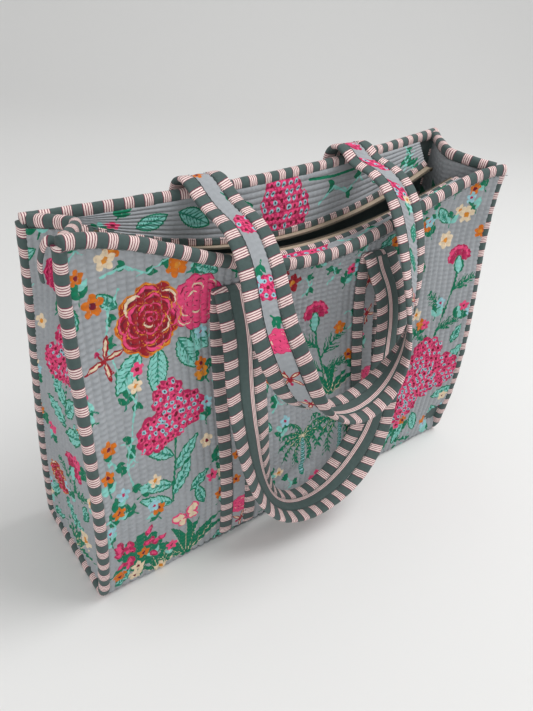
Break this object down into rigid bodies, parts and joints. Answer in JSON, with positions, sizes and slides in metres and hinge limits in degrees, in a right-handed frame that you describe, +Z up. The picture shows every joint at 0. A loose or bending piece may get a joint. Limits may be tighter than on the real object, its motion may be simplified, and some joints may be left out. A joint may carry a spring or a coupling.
{
  "type": "knitting bag",
  "caption": "Quilted cotton knitting bag with printed panels, striped bound seams, a zipped inset top and two looped webbing handles.",
  "frame": {"origin": "centre of the base on the surface that the bag stands on", "axes": "+X along the front to the right, -Y towards the front, +Z up"},
  "size_m": [0.471, 0.2076, 0.3634],
  "materials": {
    "printed_cotton": "quilted floral print",
    "striped_binding": "striped bias binding",
    "slate_lining": "plain weave",
    "zip_tape": "woven zip tape",
    "zip_teeth": "moulded coil",
    "zip_metal": "satin"
  },
  "bodies": {
    "bag": {"wrap_panel": "printed_cotton", "left_gusset": "printed_cotton", "right_gusset": "printed_cotton", "front_zip_panel": "printed_cotton", "back_zip_panel": "printed_cotton", "left_seam_binding": "striped_binding", "right_seam_binding": "striped_binding", "left_rim_binding": "striped_binding", "right_rim_binding": "striped_binding", "front_rim_binding": "striped_binding", "back_rim_binding": "striped_binding", "front_zip_binding": "striped_binding", "back_zip_binding": "striped_binding", "front_left_strap_edges": "striped_binding", "front_right_strap_edges": "striped_binding", "back_left_strap_edges": "striped_binding", "back_right_strap_edges": "striped_binding", "front_left_strap_print": "printed_cotton", "front_right_strap_print": "printed_cotton", "back_left_strap_print": "printed_cotton", "back_right_strap_print": "printed_cotton", "front_zip_teeth": "zip_teeth", "back_zip_teeth": "zip_teeth", "zip_stops": "zip_teeth", "front_zip_tape": "zip_tape", "back_zip_tape": "zip_tape"},
    "front_handle": {"front_handle_print": "printed_cotton", "front_handle_lining": "slate_lining", "front_handle_first_edge": "striped_binding", "front_handle_second_edge": "striped_binding"},
    "back_handle": {"back_handle_print": "printed_cotton", "back_handle_lining": "slate_lining", "back_handle_first_edge": "striped_binding", "back_handle_second_edge": "striped_binding"},
    "slider": {"zip_slider": "zip_metal"},
    "pull": {"zip_pull": "zip_metal"}
  },
  "joints": [
    {"name": "back_handle_lift", "type": "hinge", "parent": "bag", "child": "back_handle", "pos_m": [-0.086, 0.02852, 0.32753], "axis": [-0.9992, -0.0195, -0.0338], "range_deg": [0, 132]},
    {"name": "front_handle_lift", "type": "hinge", "parent": "bag", "child": "front_handle", "pos_m": [-0.084, -0.04261, 0.27639], "axis": [-0.9995, 0.0257, 0.0165], "range_deg": [0, 140]},
    {"name": "zip_slide", "type": "hinge", "parent": "bag", "child": "slider", "pos_m": [0, 0.002, 0.76533], "axis": [0, -1, 0], "range_deg": [0, 45]},
    {"name": "zip_pull_swing", "type": "hinge", "parent": "slider", "child": "pull", "pos_m": [-0.18314, 0.002, 0.32865], "axis": [0, -1, 0], "range_deg": [0, 150]}
  ],
  "couplings": [
    {"joint": "front_handle_lift", "follows": "back_handle_lift", "ratio": 1.06}
  ]
}
